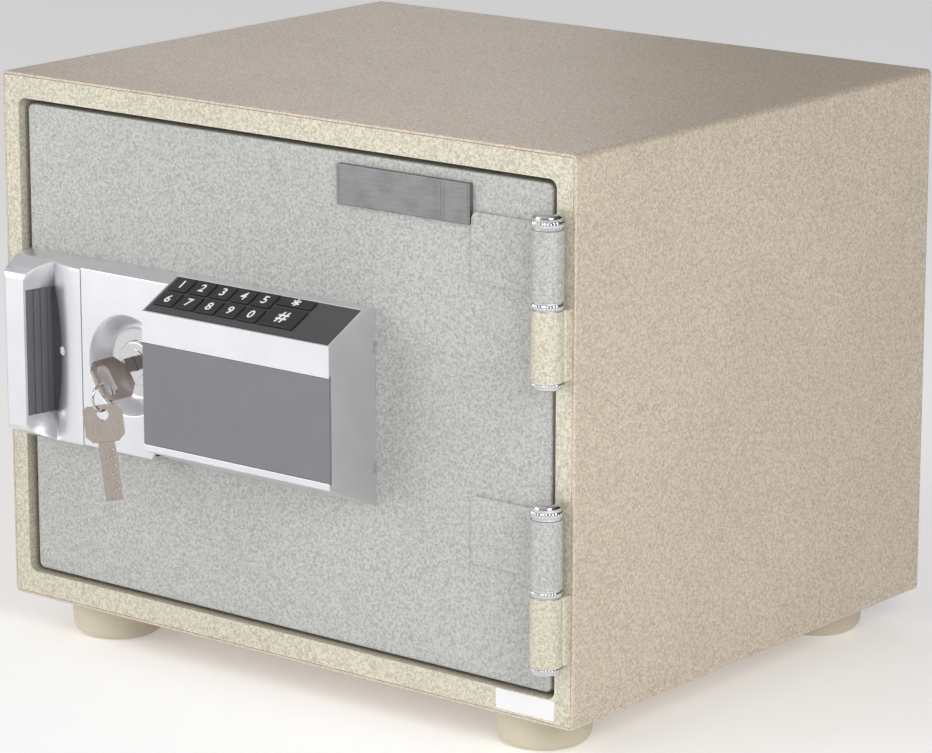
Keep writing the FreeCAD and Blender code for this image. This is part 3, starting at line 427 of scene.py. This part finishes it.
# ---- mesh helpers ---------------------------------------------------------------------------
def closed_mesh(name, points):
    """A mesh from a grid of points whose rows and columns both close on themselves."""
    rows, columns = points.shape[:2]
    index = np.arange(rows * columns).reshape(rows, columns)
    following = np.roll(index, -1, axis=1)
    quads = np.stack([index, following, np.roll(following, -1, axis=0), np.roll(index, -1, axis=0)], axis=-1)
    mesh = bpy.data.meshes.new(name)
    mesh.from_pydata(points.reshape(-1, 3).tolist(), [], quads.reshape(-1, 4).tolist())
    mesh.update()
    return mesh


def place_piece(name, mesh, body, slot, smooth=True):
    """Link a finished mesh as a piece that rides on a body."""
    thing = bpy.data.objects.new(name, mesh)
    bpy.context.scene.collection.objects.link(thing)
    if smooth:
        mesh.shade_smooth()
    mesh.materials.append(finish(slot))
    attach(thing, body)
    return thing


def joined_mesh(name, meshes):
    """One mesh from several all-quad meshes, in order."""
    points, faces, offset = [], [], 0
    for mesh in meshes:
        block = np.empty(len(mesh.vertices) * 3, np.float32)
        corners = np.empty(len(mesh.loops), np.int32)
        mesh.vertices.foreach_get("co", block)
        mesh.loops.foreach_get("vertex_index", corners)
        points.append(block.reshape(-1, 3))
        faces.append(corners.reshape(-1, 4) + offset)
        offset += len(mesh.vertices)
        bpy.data.meshes.remove(mesh)
    whole = bpy.data.meshes.new(name)
    whole.from_pydata(np.concatenate(points).tolist(), [], np.concatenate(faces).tolist())
    whole.update()
    return whole


def node_points(name):
    """A CAD node's vertices as one array."""
    mesh = NODES[name].data
    points = np.empty(len(mesh.vertices) * 3, np.float32)
    mesh.vertices.foreach_get("co", points)
    return points.reshape(-1, 3).astype(float)


# ---- pieces ---------------------------------------------------------------------------------
class SAFE_OT_cabinet(bpy.types.Operator):
    """Finish the cabinet: casing, frame, fill, liner, tray, seal, feet and label"""

    bl_idname = "safe.cabinet"
    bl_label = "Finish Cabinet"

    def execute(self, context):
        dress([
            "outer_casing", "front_frame", "body_insulation", "inner_liner", "pull_out_tray", "door_seal",
            "feet", "foot_screws", "serial_label",
        ])
        return {"FINISHED"}


class SAFE_OT_door(bpy.types.Operator):
    """Finish the door, its inner panel, bolts and bolt work"""

    bl_idname = "safe.door"
    bl_label = "Finish Door"

    def execute(self, context):
        dress([
            "door_skin", "door_core", "door_inner_panel", "plug_insulation", "door_dogs", "bolt_guides",
            "locking_bolts", "bolt_carriage", "solenoid_body", "solenoid_plunger",
        ])
        return {"FINISHED"}


class SAFE_OT_hinges(bpy.types.Operator):
    """Finish the hinges and add the fluted bright rings round their caps and washers"""

    bl_idname = "safe.hinges"
    bl_label = "Finish Hinges"

    def execute(self, context):
        dress(["frame_hinge_knuckles", "door_hinge_leaves", "hinge_pins", "hinge_foot_caps", "hinge_washers"])
        hardware = context.scene.safe_hardware
        rings = [fluted_ring(*band, hardware.ring_teeth, hardware.ring_depth) for band in ring_bands()]
        place_piece(
            "hinge_fluted_rings", joined_mesh("hinge_fluted_rings", rings), "cabinet", "bright_chrome",
        )
        return {"FINISHED"}


def ring_bands():
    """Centre, inner radius, low and high end of the fluted band on each hinge cap and washer."""
    bands = []
    for name, share_low, share_high in (
        ("hinge_washers", 0.12, 0.80), ("hinge_foot_caps", 0.30, 0.86), ("hinge_pins", 0.16, 0.66)
    ):
        points = node_points(name)
        middle = (points[:, 2].min() + points[:, 2].max()) / 2
        for half in (points[points[:, 2] < middle], points[points[:, 2] >= middle]):
            centre = (half[:, :2].min(axis=0) + half[:, :2].max(axis=0)) / 2
            reach = np.linalg.norm(half[:, :2] - centre, axis=1)
            wide = half[reach > reach.max() - 0.0003]
            low, high = wide[:, 2].min(), wide[:, 2].max()
            span = high - low
            bands.append((centre, reach.max(), low + share_low * span, low + share_high * span))
    return bands


def fluted_ring(centre, radius, low, high, teeth, depth):
    """A closed ring whose outside is fluted.

    A point at angle a and profile step s lies at radius r(s) + f(s) * depth * |cos(teeth * a / 2)| from the
    centre, where the profile runs up the inside, over the top, down the outside and back.
    """
    angles = np.linspace(0, 2 * np.pi, teeth * FLUTE_STEPS, endpoint=False)
    proud = 0.05 * MM
    lip = 0.25 * MM
    profile = np.array([
        (-0.4 * MM, low, 0.0), (-0.4 * MM, high, 0.0), (proud, high, 0.0), (proud, high - lip, 1.0),
        (proud, (low + high) / 2, 1.0), (proud, low + lip, 1.0), (proud, low, 0.0),
    ])
    flute = np.abs(np.cos(teeth * angles / 2))
    reach = radius + profile[:, :1] + profile[:, 2:] * depth * flute[None, :]
    x = centre[0] + reach * np.cos(angles)[None, :]
    y = centre[1] + reach * np.sin(angles)[None, :]
    z = np.repeat(profile[:, 1:2], len(angles), axis=1)
    return closed_mesh("ring", np.stack([x, y, z], axis=-1))


class SAFE_OT_lock_unit(bpy.types.Operator):
    """Finish the pull, lock plate, keypad housing, battery compartment and lock cylinder"""

    bl_idname = "safe.lock_unit"
    bl_label = "Finish Lock Unit"

    def execute(self, context):
        dress([
            "escutcheon", "lock_bezel", "cylinder_body", "cylinder_plug", "lock_cam", "handle", "grip_liner",
            "handle_screw", "keypad_housing", "keypad_panel", "circuit_board", "battery_cover",
            "battery_holder", "battery_cells", "small_function_key", "large_function_key",
        ])
        dress(["digit_key_" + digit for digit in DIGITS])
        edge = context.scene.safe_trim.edge_round
        for name in ("handle", "escutcheon", "keypad_housing"):
            soften(name, edge)
        soften("battery_cover", edge * 0.4)
        return {"FINISHED"}


class SAFE_OT_key_marks(bpy.types.Operator):
    """Print the numbers and two plain signs on the keypad's keys"""

    bl_idname = "safe.key_marks"
    bl_label = "Print Key Marks"

    def execute(self, context):
        trim = context.scene.safe_trim
        ink = printed_ink("key_print", tuple(trim.print_colour))
        marks = [("digit_key_" + digit, digit, trim.digit_height) for digit in DIGITS]
        marks += [("small_function_key", "*", 0.006), ("large_function_key", "#", 0.0088)]
        for name, sign, height in marks:
            mesh = printed_sign(name + "_mark", sign, height, trim.print_thickness)
            mesh.transform(key_top(name))
            thing = place_piece(name + "_mark", mesh, name + "_body", SLOT_OF[name], smooth=False)
            thing.material_slots[0].material = ink
        return {"FINISHED"}


def key_top(name):
    """Where a key's printing sits: x across, y up the slope, z out of the cap, at the middle of its top."""
    inward = Vector(JOINTS[name + "_press"]["axis"]).normalized()
    out = -inward
    across = Vector((1, 0, 0))
    up = out.cross(across)
    points = node_points(name)
    level = points @ np.array(out)
    top = points[level > level.max() - 0.00002]
    middle = (top.min(axis=0) + top.max(axis=0)) / 2
    turn = Matrix((across, up, out)).transposed().to_4x4()
    return Matrix.Translation(Vector(middle)) @ turn


def printed_sign(name, sign, height, thickness):
    """A sign from the built-in typeface as a thin closed mesh, centred on the origin and facing +z."""
    curve = bpy.data.curves.new(name, "FONT")
    curve.body = sign
    curve.extrude = 0.01
    curve.offset = 0.018
    curve.resolution_u = 6
    holder = bpy.data.objects.new(name, curve)
    bpy.context.scene.collection.objects.link(holder)
    bpy.context.view_layer.update()
    mesh = bpy.data.meshes.new_from_object(holder.evaluated_get(bpy.context.evaluated_depsgraph_get()))
    bpy.data.objects.remove(holder)
    bpy.data.curves.remove(curve)
    points = np.empty(len(mesh.vertices) * 3, np.float32)
    mesh.vertices.foreach_get("co", points)
    points = points.reshape(-1, 3)
    low, high = points.min(axis=0), points.max(axis=0)
    points -= (low + high) / 2
    points[:, :2] *= height / (high[1] - low[1])
    points[:, 2] = np.where(points[:, 2] > 0, thickness, -INK_SUNK)
    mesh.vertices.foreach_set("co", points.ravel())
    mesh.name = name
    mesh.update()
    return mesh


class SAFE_OT_nameplate(bpy.types.Operator):
    """Finish the blank nameplate and add its plain border and end panel"""

    bl_idname = "safe.nameplate"
    bl_label = "Finish Nameplate"

    def execute(self, context):
        dress(["nameplate"])
        low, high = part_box("nameplate")
        edge, line, half_gap = 1.3 * MM, 0.5 * MM, 0.8 * MM
        split = high.x - 18.5 * MM
        rows = (low.z + edge, high.z - edge)
        spans = ((low.x + edge, split - half_gap), (split + half_gap, high.x - edge))
        frames = [flat_frame(span, rows, low.y, line) for span in spans]
        place_piece(
            "nameplate_borders", joined_mesh("nameplate_borders", frames), "door", "plate_metal",
            smooth=False,
        )
        return {"FINISHED"}


def flat_frame(x, z, face, width):
    """A thin raised rectangle of one line's width on a face that looks along -y.

    Each corner is repeated at four offsets: outer and inner edge, each sunk and proud of the face.
    """
    corners = np.array([(-1, -1), (1, -1), (1, 1), (-1, 1)], float)
    centre = np.array([(x[0] + x[1]) / 2, (z[0] + z[1]) / 2])
    half = np.array([(x[1] - x[0]) / 2, (z[1] - z[0]) / 2])
    steps = np.array([(0.0, 0.05), (0.0, -0.12), (1.0, -0.12), (1.0, 0.05)])
    flat = centre + corners[None, :, :] * (half - steps[:, 0, None, None] * width)
    depth = np.repeat(face + steps[:, 1:] * MM, 4, axis=1)
    points = np.stack([flat[..., 0], depth, flat[..., 1]], axis=-1)
    mesh = closed_mesh("frame", points)
    mesh.flip_normals()
    return mesh


class SAFE_OT_keys(bpy.types.Operator):
    """Finish the two keys and their ring"""

    bl_idname = "safe.keys"
    bl_label = "Finish Keys"

    def execute(self, context):
        dress(["lock_key", "key_ring", "spare_key"])
        return {"FINISHED"}


# ---- studio ---------------------------------------------------------------------------------
def softbox(name, place, aim, size, power):
    """A rectangular area light at a place, facing a point."""
    data = bpy.data.lights.new(name, "AREA")
    data.shape = "RECTANGLE"
    data.size, data.size_y = size
    data.energy = power
    lamp = bpy.data.objects.new(name, data)
    bpy.context.scene.collection.objects.link(lamp)
    lamp.location = place
    lamp.rotation_mode = "QUATERNION"
    lamp.rotation_quaternion = (Vector(aim) - Vector(place)).to_track_quat("-Z", "Y")


def studio_world(strength):
    """Light from all round that is brightest overhead and to the front left."""
    world = bpy.data.worlds.new("studio")
    bpy.context.scene.world = world
    world.use_nodes = True
    tree = world.node_tree
    tree.nodes.clear()
    place = tree.nodes.new("ShaderNodeTexCoord").outputs["Generated"]
    height = node(tree, "ShaderNodeSeparateXYZ", {"Vector": place}).outputs["Z"]
    tone = ramp(tree, height, (0.30, 0.30, 0.31), (1.0, 1.0, 1.0), 0.0, 0.75)
    front = node(
        tree, "ShaderNodeVectorMath", {0: place, 1: (-0.55, -0.80, 0.24)}, operation="DOT_PRODUCT"
    ).outputs["Value"]
    share = spread(tree, front, 0.10, 1.30, -0.8, 1.0)
    power = node(tree, "ShaderNodeMath", {0: share, 1: strength}, operation="MULTIPLY").outputs["Value"]
    light = node(tree, "ShaderNodeBackground", {"Color": tone, "Strength": power})
    seen = node(tree, "ShaderNodeBackground", {"Color": (1.0, 1.0, 1.0, 1.0), "Strength": 1.0})
    ray = tree.nodes.new("ShaderNodeLightPath").outputs["Is Camera Ray"]
    mixed = node(
        tree, "ShaderNodeMixShader", {0: ray, 1: light.outputs["Background"], 2: seen.outputs["Background"]}
    )
    out = tree.nodes.new("ShaderNodeOutputWorld")
    tree.links.new(mixed.outputs["Shader"], out.inputs["Surface"])


class SAFE_OT_stage(bpy.types.Operator):
    """Set the pale floor, the softboxes and the camera"""

    bl_idname = "safe.stage"
    bl_label = "Set Stage"

    def execute(self, context):
        studio = context.scene.safe_studio
        half = studio.floor_size / 2
        mesh = bpy.data.meshes.new("floor")
        mesh.from_pydata(
            [(-half, -half, 0), (half, -half, 0), (half, half, 0), (-half, half, 0)], [], [(0, 1, 2, 3)],
        )
        floor = bpy.data.objects.new("floor", mesh)
        context.scene.collection.objects.link(floor)
        made, tree, shader, place = start_material("floor_sweep")
        tone = tuple(studio.floor)
        tint = ramp(tree, noise(tree, place, 1.5), shade(tone, 0.985), tone, 0.4, 0.6)
        tree.links.new(tint, shader.inputs["Base Color"])
        shader.inputs["Roughness"].default_value = 0.75
        shader.inputs["Emission Color"].default_value = (1.0, 1.0, 1.0, 1.0)
        shader.inputs["Emission Strength"].default_value = studio.floor_glow
        mesh.materials.append(made)
        softbox("key_softbox", (-1.5, -1.9, 0.8), (0, 0, 0.15), (1.6, 1.3), studio.key_power)
        softbox("side_softbox", (1.25, -0.75, 0.75), (0.2, -0.1, 0.25), (0.6, 0.6), studio.side_power)
        softbox("top_softbox", (-0.65, 0.65, 0.75), (-0.1, 0.1, 0.3), (0.5, 0.5), studio.top_power)
        studio_world(studio.sky)
        context.scene.view_settings.view_transform = "Standard"
        data = bpy.data.cameras.new("camera")
        data.lens = studio.lens
        data.sensor_width = 36.0
        data.clip_start, data.clip_end = 0.05, 60.0
        camera = bpy.data.objects.new("camera", data)
        context.scene.collection.objects.link(camera)
        turn, rise = studio.camera_azimuth, studio.camera_elevation
        across = Vector((math.cos(turn), math.sin(turn), 0))
        back = Vector((math.sin(turn) * math.cos(rise), -math.cos(turn) * math.cos(rise), math.sin(rise)))
        axes = Matrix((across, back.cross(across), back)).transposed().to_4x4()
        stand = Vector(studio.camera_place) + Vector((0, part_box("front_frame")[0].y, 0))
        camera.matrix_world = Matrix.Translation(stand) @ axes
        context.scene.camera = camera
        return {"FINISHED"}


class SAFE_PT_panel(bpy.types.Panel):
    """The safe's settings and steps"""

    bl_idname = "SAFE_PT_panel"
    bl_label = "Document Safe"
    bl_space_type = "VIEW_3D"
    bl_region_type = "UI"
    bl_category = "Safe"

    def draw(self, context):
        for group in GROUPS:
            settings = getattr(context.scene, group)
            box = self.layout.box()
            for key in settings.__annotations__:
                box.prop(settings, key)
        for operator in OPERATORS:
            self.layout.operator(operator.bl_idname)


GROUPS = {
    "safe_paint": SafePaint,
    "safe_trim": SafeTrim,
    "safe_hardware": SafeHardware,
    "safe_studio": SafeStudio,
}
OPERATORS = (
    SAFE_OT_stage, SAFE_OT_cabinet, SAFE_OT_door, SAFE_OT_hinges, SAFE_OT_lock_unit, SAFE_OT_key_marks,
    SAFE_OT_nameplate, SAFE_OT_keys,
)


def register():
    """Register the settings, the steps and the panel."""
    for name, group in GROUPS.items():
        bpy.utils.register_class(group)
        setattr(bpy.types.Scene, name, PointerProperty(type=group))
    for operator in OPERATORS:
        bpy.utils.register_class(operator)
    bpy.utils.register_class(SAFE_PT_panel)


def unregister():
    """Take away everything that register adds."""
    bpy.utils.unregister_class(SAFE_PT_panel)
    for operator in reversed(OPERATORS):
        bpy.utils.unregister_class(operator)
    for name, group in reversed(GROUPS.items()):
        delattr(bpy.types.Scene, name)
        bpy.utils.unregister_class(group)


def main():
    """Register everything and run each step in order."""
    register()
    for operator in OPERATORS:
        group, step = operator.bl_idname.split(".")
        getattr(getattr(bpy.ops, group), step)()


if __name__ == "__main__":
    main()
